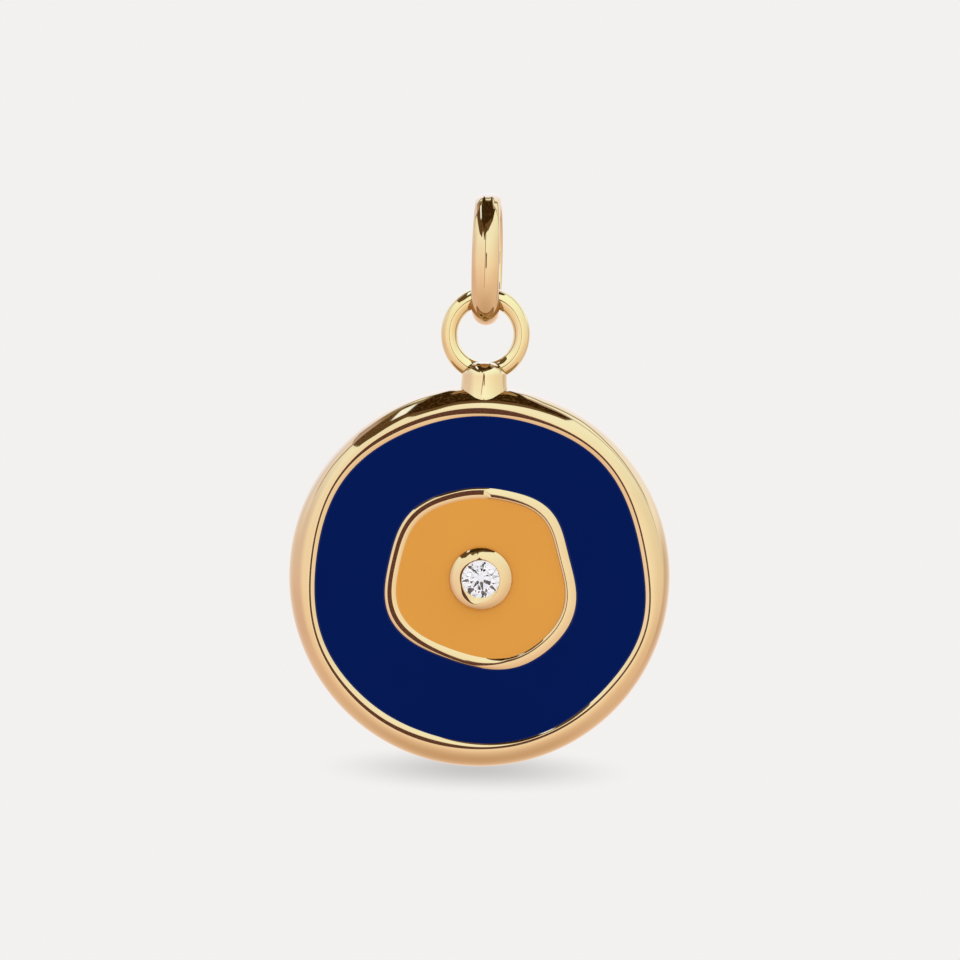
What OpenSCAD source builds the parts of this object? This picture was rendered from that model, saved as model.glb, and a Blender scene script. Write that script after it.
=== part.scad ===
// Evil eye pendant: an enamelled disc with a stone, hung on a bail by a small wire ring.
// The pendant faces -Y. The origin is where a chain sits, at the top of the bail's hole.

/* [Disc] */
// Diameter of the disc
disc_d = 18; // [15:0.5:26]
// Thickness of the disc from its back to the crest of its rim
disc_t = 2.4; // [2.1:0.1:3.4]
// Width of the rim where it is widest
rim_w = 1.4; // [1.2:0.05:2]
// Width of the bevel inside the crest of the rim
rim_bevel_w = 0.25; // [0.1:0.05:0.4]
// Depth of the enamel below the crest of the rim
rim_bevel_h = 0.06; // [0.04:0.02:0.2]
// Radius of the round edge at the back of the disc
back_round = 0.7; // [0.2:0.1:1]

/* [Enamel] */
// Thickness of the enamel
enamel_t = 0.5; // [0.3:0.05:0.8]
// Clearance round each piece of enamel
enamel_gap = 0.02; // [0.01:0.01:0.05]

/* [Iris] */
// Diameter of the iris over its wall, between the corners
iris_d = 8; // [6.5:0.25:9.5]
// Width of the iris wall between the corners
iris_wall_w = 0.55; // [0.3:0.05:0.9]
// Height of the iris wall above the enamel
iris_wall_h = 0.1; // [0.06:0.02:0.3]
// Width of the bevel on the inner side of the iris wall
iris_bevel_w = 0.18; // [0.05:0.01:0.25]

/* [Stone and bezel] */
// Diameter of the stone
stone_d = 1.9; // [1.5:0.1:2.4]
// Height of the stone's table above the enamel
stone_rise = 0.3; // [0.25:0.05:0.45]
// How far the stone is set to the right of the disc's centre
stone_x = 0.06; // [-0.2:0.02:0.2]
// How far the stone is set above the disc's centre
stone_y = -0.03; // [-0.2:0.01:0.2]
// Clearance round the stone in its seat
stone_gap = 0.02; // [0.01:0.01:0.04]
// Width of the bezel outside the stone
bezel_w = 0.52; // [0.4:0.02:0.8]
// Height of the bezel above the enamel
bezel_h = 0.3; // [0.3:0.05:0.6]
// How far the bezel's lip reaches over the edge of the stone
lip_over = 0.065; // [0.03:0.005:0.1]

/* [Post and ring] */
// Width of the post on top of the disc
post_w = 2.14; // [1.4:0.02:2.2]
// Depth of the post, from front to back
post_t = 1.9; // [1.2:0.02:2]
// How much further the post's foot spreads on each side
post_flare = 0.12; // [0.02:0.02:0.2]
// Height of the post that shows between the ring and the disc
post_h = 0.26; // [0.1:0.02:1.5]
// Thickness of the ring's wire at its sides, and from front to back
ring_wire = 0.78; // [0.5:0.02:0.86]
// Thickness of the ring's wire at its top and foot
ring_end_wire = 0.9; // [0.5:0.02:1]
// Diameter of the hole in the ring
ring_hole = 2.64; // [2.5:0.02:4]

/* [Bail] */
// Height of the bail's hole
bail_hole_h = 4.8; // [4:0.1:8]
// Depth of the bail's hole, from front to back
bail_hole_d = 3.2; // [2.8:0.1:4]
// Width of the bail at its legs
bail_w = 1.3; // [0.8:0.05:1.3]
// Thickness of the bail at its top
bail_top_t = 0.7; // [0.5:0.05:1]
// Thickness of the bail at its legs
bail_leg_t = 0.7; // [0.5:0.05:0.8]
// Thickness of the bail at its foot, inside the ring
bail_foot_t = 0.75; // [0.5:0.05:0.9]
// Bevel on the inner edges of the bail
bail_edge = 0.1; // [0.02:0.02:0.16]
// Clearance between the bail's foot and the ring's wire
ring_gap = 0.16; // [0.13:0.01:0.3]
// How far the bail is turned away from square, clockwise as seen from above
bail_turn = 2.5; // [0:0.5:6]

/* [Hidden] */
$fn = 48;

// Corners of the two wavy outlines, anticlockwise from the right as seen from the front.
// AT is the corner's angle, RISE its height as a share of the outline's size, SPREAD its
// width as an angle.
AT = 0;
RISE = 1;
SPREAD = 2;
field_corners = [[50, 0.035, 20], [145, 0.045, 25], [205, 0.045, 25], [295, 0.04, 40], [340, 0.04, 20]];
iris_corners = [[50, 0.15, 35], [140, 0.15, 40], [205, 0.17, 30], [295, 0.15, 30], [340, 0.18, 25]];

// Section of the bail down one side. TURN is the angle from its top, WIDE its width as a
// share of bail_w, THICK its thickness in mm, SQUARE the share of it below the dome.
TURN = 0;
WIDE = 1;
THICK = 2;
SQUARE = 3;
bail_rows = [
  [0, 0.93, bail_top_t, 0.55],
  [90, 1, bail_leg_t, 0.55],
  [180, 1, bail_foot_t, 0.15]];

// Proportions of a round brilliant cut, as shares of the stone's diameter
table_share = 0.57;
crown_share = 0.15;
girdle_share = 0.03;
pavilion_share = 0.43;
// Where the upper and lower girdle facets meet, as shares of the girdle's radius
star_share = 0.78;
lower_share = 0.24;

// Where the bezel's crest lies, as a share of its width, and the thickness of its lip
bezel_crest_share = 0.15;
lip_t = 0.13;
// The post's rounded shoulder: its height as a share of the wire, and its flat top as a
// share of the post's half width
shoulder_share = 0.7;
shoulder_flat = 0.35;

disc_steps = 72;
ring_steps = 48;
wire_steps = 24;
bail_steps = 48;
dome_steps = 7;
round_steps = 4;
// How far soldered pieces run into each other
sink = 0.3;

disc_r = disc_d / 2;
crest_z = disc_t / 2;
enamel_z = crest_z - rim_bevel_h;
floor_z = enamel_z - enamel_t;
field_r = disc_r - rim_w;
iris_r = iris_d / 2;

stone_r = stone_d / 2;
table_r = stone_r * table_share;
girdle_h = stone_d * girdle_share;
table_z = enamel_z + stone_rise;
girdle_top_z = table_z - stone_d * crown_share;
girdle_foot_z = girdle_top_z - girdle_h;
culet_z = girdle_foot_z - stone_d * pavilion_share;
lip_r = stone_r - lip_over;
bezel_r = stone_r + bezel_w;
bezel_crest_r = lip_r + bezel_w * bezel_crest_share;
bezel_crest_z = enamel_z + bezel_h;

pivot_z = -bail_hole_h + ring_gap + ring_end_wire / 2;
ring_z = pivot_z - (ring_hole + ring_end_wire) / 2;
disc_top_z = ring_z - ring_hole / 2 - ring_end_wire - post_h;
disc_z = disc_top_z - disc_r;

disc_turns = [for (i = [0:disc_steps - 1]) i * 360 / disc_steps];

function total(values) = values * [for (value = values) 1];
function apart(a, b) = abs((a - b + 540) % 360 - 180);
function wave(corners, a) =
  1 + total([for (c = corners) c[RISE] * exp(-pow(apart(a, c[AT]) / c[SPREAD], 2))]);
function field_at(a) = field_r * wave(field_corners, a);
function iris_at(a) = iris_r * wave(iris_corners, a);
function polar(r, a, z) = [r * cos(a), r * sin(a), z];

// Rings of the disc, from the back round the edge and down into the front
function round_ring(r, z) = [for (a = disc_turns) polar(r, a, z)];
function back_ring(p) = round_ring(disc_r - back_round * (1 - sin(p)), -crest_z + back_round * (1 - cos(p)));
function dome_ring(p) = [
  for (a = disc_turns)
    let (crest = field_at(a) + rim_bevel_w)
    polar(crest + (disc_r - crest) * cos(p), a, crest_z * sin(p))];
function field_ring(out, z) = [for (a = disc_turns) polar(field_at(a) + out, a, z)];
function iris_ring(inward, z) = [
  for (a = disc_turns) polar(iris_at(a) * (1 - inward / iris_r), a, z)];
function wall_ring(p) =
  iris_ring((iris_wall_w - iris_bevel_w) * (1 - cos(p)), enamel_z + iris_wall_h * sin(p));
function bezel_ring(z) = [for (p = round_ring(bezel_r + enamel_gap, z)) p + [stone_x, stone_y, 0]];

// A skin over rings of points. The ends are capped, or joined when it is a closed tube.
module skin(rings, tube = false) {
  n = len(rings[0]);
  m = len(rings);
  last = tube ? m - 1 : m - 2;
  sides = [
    for (i = [0:last], j = [0:n - 1])
      let (near = i * n, far = (i + 1) % m * n, k = (j + 1) % n)
      each [[near + j, far + j, far + k], [near + j, far + k, near + k]]];
  caps = tube ? [] : [[for (j = [0:n - 1]) j], [for (j = [n - 1:-1:0]) (m - 1) * n + j]];
  polyhedron([for (ring = rings) each ring], concat(caps, sides));
}

// Puts what is drawn on the disc, front up, where the disc hangs, front towards -Y
module hang() {
  translate([0, 0, disc_z]) rotate([90, 0, 0]) children();
}

// Moves what is drawn round the stone's centre to where the stone is set on the disc
module at_stone() {
  translate([stone_x, stone_y, 0]) children();
}

// The disc with its domed rim, its floor and the wall round the iris
module tray() {
  skin([
    for (i = [0:round_steps]) back_ring(i * 90 / round_steps),
    for (i = [0:dome_steps]) dome_ring(i * 90 / dome_steps),
    field_ring(0, enamel_z),
    field_ring(0, floor_z),
    iris_ring(0, floor_z),
    for (i = [0:round_steps]) wall_ring(i * 90 / round_steps),
    iris_ring(iris_wall_w, enamel_z),
    iris_ring(iris_wall_w, floor_z)]);
}

// The cup round the stone, with a domed outside and a lip that slopes in to the stone
module bezel() {
  dome = [
    for (i = [0:round_steps])
      let (p = i * 90 / round_steps)
      [bezel_crest_r + (bezel_r - bezel_crest_r) * cos(p), enamel_z + bezel_h * sin(p)]];
  rotate_extrude()
    polygon(concat([[0, floor_z - sink], [bezel_r, floor_z - sink]], dome, [[0, bezel_crest_z]]));
}

// What is cut out of the bezel for the stone, and for the slope from its crest to its lip
module stone_seat() {
  under_lip = girdle_top_z + (table_z - girdle_top_z) * lip_over / (stone_r - table_r) + stone_gap;
  rotate_extrude()
    polygon([
      [0, culet_z - stone_gap * 2],
      [stone_r + stone_gap, girdle_foot_z - stone_gap],
      [stone_r + stone_gap, girdle_top_z + stone_gap],
      [lip_r, under_lip],
      [lip_r, under_lip + lip_t],
      [bezel_crest_r, bezel_crest_z],
      [bezel_crest_r, bezel_crest_z + sink],
      [0, bezel_crest_z + sink]]);
}

// The short post that joins the ring to the disc, with a flared foot and a rounded shoulder
module post() {
  half = post_w / 2;
  foot = disc_top_z - back_round - sink;
  top = ring_z - ring_hole / 2;
  shoulder = top - ring_end_wire * shoulder_share;
  flare = [
    for (i = [0:round_steps - 1])
      let (s = i / round_steps)
      [half + post_flare * pow(1 - s, 2), disc_top_z + (shoulder - disc_top_z) * s]];
  dome = [
    for (i = [0:round_steps])
      let (p = i * 90 / round_steps)
      [half * (shoulder_flat + (1 - shoulder_flat) * cos(p)), shoulder + (top - shoulder) * sin(p)]];
  scale([1, post_t / post_w, 1])
    rotate_extrude()
      polygon(concat([[0, foot], [half + post_flare, foot]], flare, dome, [[0, top]]));
}

// One section of the ring's wire, thicker at the top and foot of the ring than at its sides
function wire_section(a) =
  let (thick = ring_wire + (ring_end_wire - ring_wire) * pow(sin(a), 2))
  [for (i = [0:wire_steps - 1])
    let (q = i * 360 / wire_steps, r = ring_hole / 2 + thick * (1 + cos(q)) / 2)
    [r * cos(a), ring_wire / 2 * sin(q), ring_z + r * sin(a)]];

module wire_ring() {
  skin([for (i = [0:ring_steps - 1]) wire_section(i * 360 / ring_steps)], tube = true);
}

// Value of one column of the bail's table at a turn from the top, eased between the rows
function bail_value(column, turn) =
  let (t = turn > 180 ? 360 - turn : turn,
    row = t < 90 ? 0 : 1,
    a = bail_rows[row],
    b = bail_rows[row + 1],
    ease = (1 - cos(180 * (t - a[TURN]) / (b[TURN] - a[TURN]))) / 2)
  a[column] + (b[column] - a[column]) * ease;

// One section of the bail: points across the band and outwards from the hole
function bail_section(turn) =
  let (half = bail_w * bail_value(WIDE, turn) / 2,
    thick = bail_value(THICK, turn),
    side = max(thick * bail_value(SQUARE, turn), bail_edge * 1.1))
  concat(
    [[-half, bail_edge], [-half + bail_edge, 0], [half - bail_edge, 0], [half, bail_edge]],
    [for (p = [0:22.5:180]) [half * cos(p), side + (thick - side) * sin(p)]]);

function bail_ring(turn) =
  let (y = bail_hole_d / 2,
    z = bail_hole_h / 2,
    out = [sin(turn) / y, cos(turn) / z],
    unit = out / norm(out))
  [for (s = bail_section(turn)) [s[0], y * sin(turn) + s[1] * unit[0], z * (cos(turn) - 1) + s[1] * unit[1]]];

module bail() {
  color("#E2B86C")
    rotate([0, 0, -bail_turn])
      skin([for (i = [0:bail_steps - 1]) bail_ring(i * 360 / bail_steps)], tube = true);
}

module setting() {
  color("#DDB066")
    difference() {
      union() {
        hang() tray();
        hang() at_stone() bezel();
        post();
        wire_ring();
      }
      hang() at_stone() stone_seat();
    }
}

module blue_enamel() {
  color("#00174F")
    hang()
      skin([
        field_ring(-enamel_gap, floor_z + enamel_gap),
        field_ring(-enamel_gap, enamel_z),
        iris_ring(-enamel_gap, enamel_z),
        iris_ring(-enamel_gap, floor_z + enamel_gap)], tube = true);
}

module amber_enamel() {
  color("#DE9B45")
    hang()
      skin([
        iris_ring(iris_wall_w + enamel_gap, floor_z + enamel_gap),
        iris_ring(iris_wall_w + enamel_gap, enamel_z),
        bezel_ring(enamel_z),
        bezel_ring(floor_z + enamel_gap)], tube = true);
}

// A round brilliant: table, eight stars, eight kites, girdle, and the pavilion to its culet
module stone() {
  facet = 45;
  half = facet / 2;
  star_r = stone_r * star_share;
  star_z = table_z - (table_z - girdle_top_z) * (star_r * cos(half) - table_r) / (stone_r - table_r);
  lower_r = stone_r * lower_share;
  lower_z = culet_z + (girdle_foot_z - culet_z) * lower_r * cos(half) / stone_r;
  table_at = 0;
  star_at = 8;
  top_at = 16;
  foot_at = 32;
  lower_at = 48;
  culet_at = 56;
  points = [
    for (i = [0:7]) polar(table_r, i * facet, table_z),
    for (i = [0:7]) polar(star_r, i * facet + half, star_z),
    for (i = [0:15]) polar(stone_r, i * half, girdle_top_z),
    for (i = [0:15]) polar(stone_r, i * half, girdle_foot_z),
    for (i = [0:7]) polar(lower_r, i * facet + half, lower_z),
    [0, 0, culet_z]];
  faces = [
    [for (i = [7:-1:0]) table_at + i],
    for (i = [0:7])
      let (next = (i + 1) % 8, prev = (i + 7) % 8, g = 2 * i, g1 = 2 * i + 1, g2 = (2 * i + 2) % 16)
      each [
        [table_at + i, table_at + next, star_at + i],
        [table_at + i, star_at + i, top_at + g, star_at + prev],
        [star_at + i, top_at + g1, top_at + g],
        [star_at + i, top_at + g2, top_at + g1],
        [top_at + g, top_at + g1, foot_at + g1, foot_at + g],
        [top_at + g1, top_at + g2, foot_at + g2, foot_at + g1],
        [foot_at + g, foot_at + g1, lower_at + i],
        [foot_at + g1, foot_at + g2, lower_at + i],
        [foot_at + g, lower_at + i, culet_at, lower_at + prev]]];
  color("white") hang() at_stone() polyhedron(points, faces);
}

bail();
setting();
blue_enamel();
amber_enamel();
stone();
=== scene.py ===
# %% [markdown]
# # Evil eye pendant
# A round gold charm hangs from an oval bail. Its face is a field of dark blue enamel with an
# orange enamel iris, and a small brilliant-cut stone sits in a bezel in the middle.
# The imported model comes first. It is the fixed frame that every piece below is built in:
# metres, Z up, the enamelled face towards -Y, and the place where a chain sits at the origin.

# %% Load the frame
import math
import bmesh
import bpy
import numpy as np
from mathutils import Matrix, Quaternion, Vector


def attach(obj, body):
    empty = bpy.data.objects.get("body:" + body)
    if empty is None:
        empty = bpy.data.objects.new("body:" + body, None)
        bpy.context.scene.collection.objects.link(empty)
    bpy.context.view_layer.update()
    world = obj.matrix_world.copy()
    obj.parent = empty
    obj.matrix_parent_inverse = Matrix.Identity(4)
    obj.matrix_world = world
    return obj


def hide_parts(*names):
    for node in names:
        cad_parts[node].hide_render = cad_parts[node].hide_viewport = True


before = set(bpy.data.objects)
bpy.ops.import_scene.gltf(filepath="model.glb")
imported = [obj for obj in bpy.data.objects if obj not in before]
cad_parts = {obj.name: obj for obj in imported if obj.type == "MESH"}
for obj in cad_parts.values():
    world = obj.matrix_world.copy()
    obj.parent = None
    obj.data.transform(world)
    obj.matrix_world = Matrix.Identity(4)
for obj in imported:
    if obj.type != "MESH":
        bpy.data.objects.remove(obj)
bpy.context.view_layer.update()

# %% [markdown]
# ## Sizes
# A maker would work from one drawing, so the main sizes of the model stand here once, in
# millimetres. The meshes are drawn in millimetres too, and turned into metres when Blender
# gets them. That keeps the numbers readable: a rim of 1.4 says more than one of 0.0014.

# %% Sizes of the pendant
MM = 0.001
DISC_R = 9.0
CREST_Z = 1.2
RIM_W = 1.4
BEVEL_H = 0.06
BACK_ROUND = 0.7
ENAMEL_T = 0.5
IRIS_R = 4.0
WALL_W = 0.47
WALL_H = 0.07
STONE_R = 0.95
STONE_X = 0.06
STONE_Y = -0.03
STONE_RISE = 0.3
STONE_GAP = 0.02
CROWN_SHARE = 0.15
GIRDLE_SHARE = 0.03
PAVILION_SHARE = 0.43
BEZEL_W = 0.56
BEZEL_H = 0.3
BEZEL_DEPTH = 0.96
LIP_OVER = 0.065
POST_R = 1.07
POST_T = 1.9
POST_FLARE = 0.12
POST_H = 0.26
POST_SINK = 0.3
WIRE = 0.78
END_WIRE = 0.9
RING_HOLE = 2.64
BAIL_HOLE_H = 4.8
BAIL_HOLE_D = 3.2
BAIL_W = 1.3
BAIL_EDGE = 0.1
BAIL_TURN = -2.5
RING_GAP = 0.16

ENAMEL_Z = CREST_Z - BEVEL_H
FLOOR_Z = ENAMEL_Z - ENAMEL_T
FIELD_R = DISC_R - RIM_W
LIP_R = STONE_R - LIP_OVER
BEZEL_R = STONE_R + BEZEL_W
TABLE_Z = ENAMEL_Z + STONE_RISE
GIRDLE_TOP = TABLE_Z - 2 * STONE_R * CROWN_SHARE
GIRDLE_FOOT = GIRDLE_TOP - 2 * STONE_R * GIRDLE_SHARE
CULET_Z = GIRDLE_FOOT - 2 * STONE_R * PAVILION_SHARE
RING_Z = RING_GAP - BAIL_HOLE_H - RING_HOLE / 2
DISC_TOP_Z = RING_Z - RING_HOLE / 2 - END_WIRE - POST_H
DISC_Z = DISC_TOP_Z - DISC_R
print("disc centre", round(DISC_Z, 3), "mm, ring centre", round(RING_Z, 3), "mm")

# %% [markdown]
# ## Camera
# Jewellery is photographed with a long lens from far away, so that a round charm stays round.
# The lens looks very slightly down, and it is turned a little about its own axis, because the
# pendant in the photograph leans by about a degree.

# %% Camera
CAMERA_HEIGHT = math.radians(3.3)
CAMERA_ROLL = math.radians(1.4)
LENS = 350
SENSOR = 36
FRAME_WIDTH = 45.36
LOOK_AT = Vector((-0.088, 0, -12.87)) * MM

camera_data = bpy.data.cameras.new("camera")
camera_data.lens = LENS
camera_data.sensor_width = SENSOR
camera_data.clip_start = 0.01
camera = bpy.data.objects.new("camera", camera_data)
bpy.context.scene.collection.objects.link(camera)
bpy.context.scene.camera = camera
towards_camera = Vector((0, -math.cos(CAMERA_HEIGHT), math.sin(CAMERA_HEIGHT)))
distance = FRAME_WIDTH / SENSOR * LENS * MM
camera.location = LOOK_AT + towards_camera * distance
camera.rotation_mode = "QUATERNION"
camera.rotation_quaternion = (
    towards_camera.to_track_quat("Z", "Y") @ Quaternion((0, 0, 1), CAMERA_ROLL))
bpy.context.scene.view_settings.view_transform = "Standard"
print("camera", round(distance, 3), "m away")

# %% [markdown]
# ## A helper for node formulas
# Light and finish are both made of small sums. One maths node for each step is what Blender
# wants, but a formula reads better as a line of code, so this helper adds the nodes.


# %% Node formulas
class Sums:
    """Adds nodes to a tree, so that a formula reads as one line of code."""

    def __init__(self, tree):
        self.tree = tree

    def node(self, kind, **settings):
        made = self.tree.nodes.new(kind)
        for name, value in settings.items():
            setattr(made, name, value)
        return made

    def put(self, socket, value):
        if isinstance(value, bpy.types.NodeSocket):
            self.tree.links.new(value, socket)
        elif value is not None:
            socket.default_value = value

    def math(self, operation, *values):
        made = self.node("ShaderNodeMath", operation=operation)
        for socket, value in zip(made.inputs, values):
            self.put(socket, value)
        return made.outputs[0]

    def add(self, a, b):
        return self.math("ADD", a, b)

    def times(self, a, b):
        return self.math("MULTIPLY", a, b)

    def share(self, value, low, high):
        """0 below low, 1 above high, and a smooth step between them."""
        made = self.node("ShaderNodeMapRange", interpolation_type="SMOOTHSTEP")
        for name, given in (("Value", value), ("From Min", low), ("From Max", high)):
            self.put(made.inputs[name], given)
        return made.outputs["Result"]

    def inside(self, value, low, high, soft):
        """1 between low and high, 0 outside, with a soft edge."""
        rises = self.share(self.math("SUBTRACT", value, low), -soft, soft)
        falls = self.share(self.math("SUBTRACT", value, high), soft, -soft)
        return self.times(rises, falls)

    def mix(self, share, a, b, blend="MIX"):
        """Colour a where share is 0, and colour b, or a blend of both, where it is 1."""
        made = self.node("ShaderNodeMix", data_type="RGBA", blend_type=blend)
        for socket, given in ((made.inputs[0], share), (made.inputs[6], a), (made.inputs[7], b)):
            self.put(socket, (*given, 1) if isinstance(given, tuple) else given)
        return made.outputs[2]

    def ramp(self, value, stops):
        """A colour for each value from 0 to 1, running evenly from stop to stop."""
        made = self.node("ShaderNodeValToRGB")
        self.put(made.inputs[0], value)
        elements = made.color_ramp.elements
        for _ in stops[2:]:
            elements.new(0.5)
        for element, (at, colour) in zip(elements, stops):
            element.position = at
            element.color = (*colour, 1)
        return made.outputs[0]

    def line(self, value, corners):
        """A height from -4 to 4 for a value from -2 to 2, straight from corner to corner."""
        stops = [((at + 2) / 4, ((height + 4) / 8,) * 3) for at, height in corners]
        shown = self.ramp(self.math("MULTIPLY_ADD", value, 1 / 4, 0.5), stops)
        return self.math("MULTIPLY_ADD", shown, 8, -4)


# %% [markdown]
# ## Studio light
# Polished gold has hardly any colour of its own: it shows the room. The room in the
# photograph is a light tent. It is palest straight ahead and a little above, warmer to the
# sides, and the table below is tan. Overhead is a dark opening with a ragged front edge and
# one pale strut, and behind that a seam, past which the tent goes on. The lens looks in
# through a narrow slit. All this could be built from cards and area lights. A world shader
# gives the same reflections with less noise, because each direction simply has its colour.
# Rays that leave a matt surface meet plain white light, so the enamels are lit evenly.

# %% Colours of the room
BACKDROP = (0.896, 0.880, 0.863)
DARK = (0.11, 0.045, 0.036)
BEHIND_LEFT = (0.82, 0.74, 0.78)
BEHIND_RIGHT = (0.95, 0.91, 0.95)
OPENING = (0.028, 0.012, 0.002)
FRINGE = (0.14, 0.08, 0.036)
FRINGE_BEHIND = (0.27, 0.20, 0.12)
FRINGE_PALE = (0.47, 0.35, 0.35)
STRUT = (1.0, 1.12, 1.35)
MATT_LIGHT = (1.0, 1.0, 1.0)
TURN_GAIN = (1.2, 1.2, 1.2)
FAR_GAIN = (1.5, 1.5, 1.5)
# The tan table, and the tent from its foot to its roof
TAN = (0.60, 0.40, 0.30)
PEACH = (0.85, 0.65, 0.55)
CREAM = (0.95, 0.85, 0.75)
PALE_ROOF = (0.95, 1.0, 0.95)
BY_HEIGHT = [(0.0, TAN), (0.25, PEACH), (0.45, CREAM), (0.7, PALE_ROOF)]
# The tints of the walls, from behind the pendant over its left and front to its right
WHITE_BEHIND = (0.85, 0.85, 0.95)
LILAC = (0.65, 0.60, 0.70)
ROSE = (0.65, 0.55, 0.60)
WARM = (0.80, 0.75, 0.75)
PLAIN = (0.85, 0.85, 0.85)
SAND = (0.75, 0.70, 0.65)
HAZE = (0.70, 0.65, 0.65)
BROWN = (0.55, 0.45, 0.40)
BY_TURN = [
    (0.0, WHITE_BEHIND), (0.15, LILAC), (0.2, ROSE), (0.3, ROSE), (0.38, WARM), (0.46, WARM),
    (0.5, PLAIN), (0.65, SAND), (0.76, HAZE), (0.8, BROWN), (0.88, LILAC), (0.95, WHITE_BEHIND),
    (1.0, WHITE_BEHIND)]
# Past the seam, from left to right
FAR_LEFT = (0.45, 0.40, 0.50)
FAR_BLUE = (0.65, 0.70, 0.95)
FAR_RIGHT = (0.60, 0.60, 0.70)
FAR_WALL = [(0.1, FAR_LEFT), (0.35, FAR_BLUE), (0.55, FAR_BLUE), (0.75, FAR_RIGHT)]


def tent_walls(sums, x, front, up):
    """The colour of the walls, by height and by the turn away from the lens."""
    colour = sums.ramp(sums.math("MULTIPLY_ADD", up, 0.5, 0.5), BY_HEIGHT)
    turn = sums.math("MULTIPLY_ADD", sums.math("ARCTAN2", x, front), 0.5 / math.pi, 0.5)
    tint = sums.mix(1.0, sums.ramp(turn, BY_TURN), TURN_GAIN, "MULTIPLY")
    level = sums.share(sums.math("ABSOLUTE", up), 0.85, 0.2)
    return sums.mix(level, colour, tint, "MULTIPLY")


print("walls of", len(BY_HEIGHT), "heights and", len(BY_TURN), "turns")

# %% [markdown]
# ## The ceiling of the room
# The brown bands on the rim, the bail and the bezel are all one thing: the opening overhead,
# mirrored by metal that curves. A direction that looks up meets a flat ceiling somewhere, at
# a distance across and a distance ahead for each metre of height. The opening, its fringe and
# the seam are drawn there with a few corners each, like shapes cut from card.

# %% Ceiling
# Each corner is a distance across and a distance ahead
OPENING_FRONT = [
    (-1.06, 0.0), (-1.02, 1.4), (-0.97, 1.4), (-0.8, 1.75), (-0.62, 1.35), (-0.55, 1.25),
    (-0.47, 0.95), (-0.42, 0.9), (-0.36, 1.1), (-0.29, 1.2), (-0.18, 0.9), (0.0, 0.8),
    (0.15, 0.7), (0.25, 0.6), (0.35, 0.6), (0.5, 0.35), (0.56, 0.0)]
OPENING_BACK = [
    (-1.06, 0.0), (-1.0, -0.1), (-0.8, -0.1), (-0.62, -0.15), (-0.55, -0.3), (-0.47, -0.5),
    (-0.42, -0.2), (-0.36, -0.15), (-0.29, -0.65), (-0.2, -1.0), (-0.13, -0.35), (0.0, -0.3),
    (0.12, -0.35), (0.15, -1.0), (0.2, -0.7), (0.25, -0.2), (0.35, 0.06), (0.56, 0.0)]
FRINGE_FRONT = [
    (-1.06, 0.0), (-0.8, 1.85), (-0.5, 1.3), (-0.46, 1.3), (-0.43, 2.2), (-0.37, 2.2),
    (-0.29, 2.1), (-0.24, 1.7), (-0.18, 1.5), (0.0, 1.35), (0.15, 1.25), (0.25, 1.05),
    (0.35, 0.88), (0.5, 0.6), (0.56, 0.0)]
FRINGE_BACK = [
    (-1.1, 0.0), (-1.02, -0.8), (-0.8, -0.62), (-0.62, -0.66), (-0.42, -0.55), (-0.36, -0.5),
    (-0.29, -0.75), (-0.2, -1.15), (-0.13, -0.45), (0.0, -0.4), (0.12, -0.45), (0.15, -1.1),
    (0.2, -0.8), (0.25, -0.35), (0.35, -0.15), (0.56, -0.1)]
SEAM = [
    (-2.0, -0.36), (-1.59, -0.36), (-1.21, -0.16), (-1.05, -0.1), (-0.97, -0.85), (-0.8, -0.64),
    (-0.62, -0.7), (-0.4, -0.8), (0.0, -0.6), (0.15, -0.75), (0.25, -0.75), (0.35, -0.38),
    (0.48, -0.45), (0.67, -0.62), (0.98, -0.46), (1.58, -0.37), (2.0, -0.37)]
STRUT_ACROSS = (-0.535, -0.415)
STRUT_AHEAD = (-0.2, 0.5)
STRUT_SLANT = 0.12


def past_seam(sums, colour, x, front, across, ahead, above):
    """Adds the dark seam and what lies past it, cream at first and white further back."""
    past = sums.math("SUBTRACT", sums.line(across, SEAM), ahead)
    wall = sums.mix(sums.share(x, -0.3, 0.1), BEHIND_LEFT, BEHIND_RIGHT)
    far = sums.ramp(sums.math("MULTIPLY_ADD", x, 0.5, 0.5), FAR_WALL)
    far = sums.mix(1.0, far, FAR_GAIN, "MULTIPLY")
    wall = sums.mix(sums.share(front, -0.45, -0.65), wall, far)
    colour = sums.mix(sums.times(sums.share(past, -0.03, 0.03), above), colour, wall)
    seam = sums.times(sums.inside(past, -0.1, 0.1, 0.04), above)
    seam = sums.times(seam, sums.inside(across, -2.6, 2.6, 0.4))
    return sums.mix(sums.times(seam, 0.75), colour, DARK)


def add_fringe(sums, colour, up, across, ahead):
    """Adds the brown fringe of the opening, paler behind it and at its two ends."""
    back = sums.line(across, FRINGE_BACK)
    fringe = sums.inside(ahead, back, sums.line(across, FRINGE_FRONT), 0.05)
    behind = sums.share(ahead, 0.1, 0.0)
    ends = sums.math("SUBTRACT", 1.0, sums.inside(across, -0.7, 0.2, 0.06))
    shade = sums.mix(behind, FRINGE, FRINGE_BEHIND)
    shade = sums.mix(sums.times(ends, behind), shade, FRINGE_PALE)
    return sums.mix(sums.times(fringe, sums.share(up, 0.03, 0.1)), colour, shade)


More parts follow.
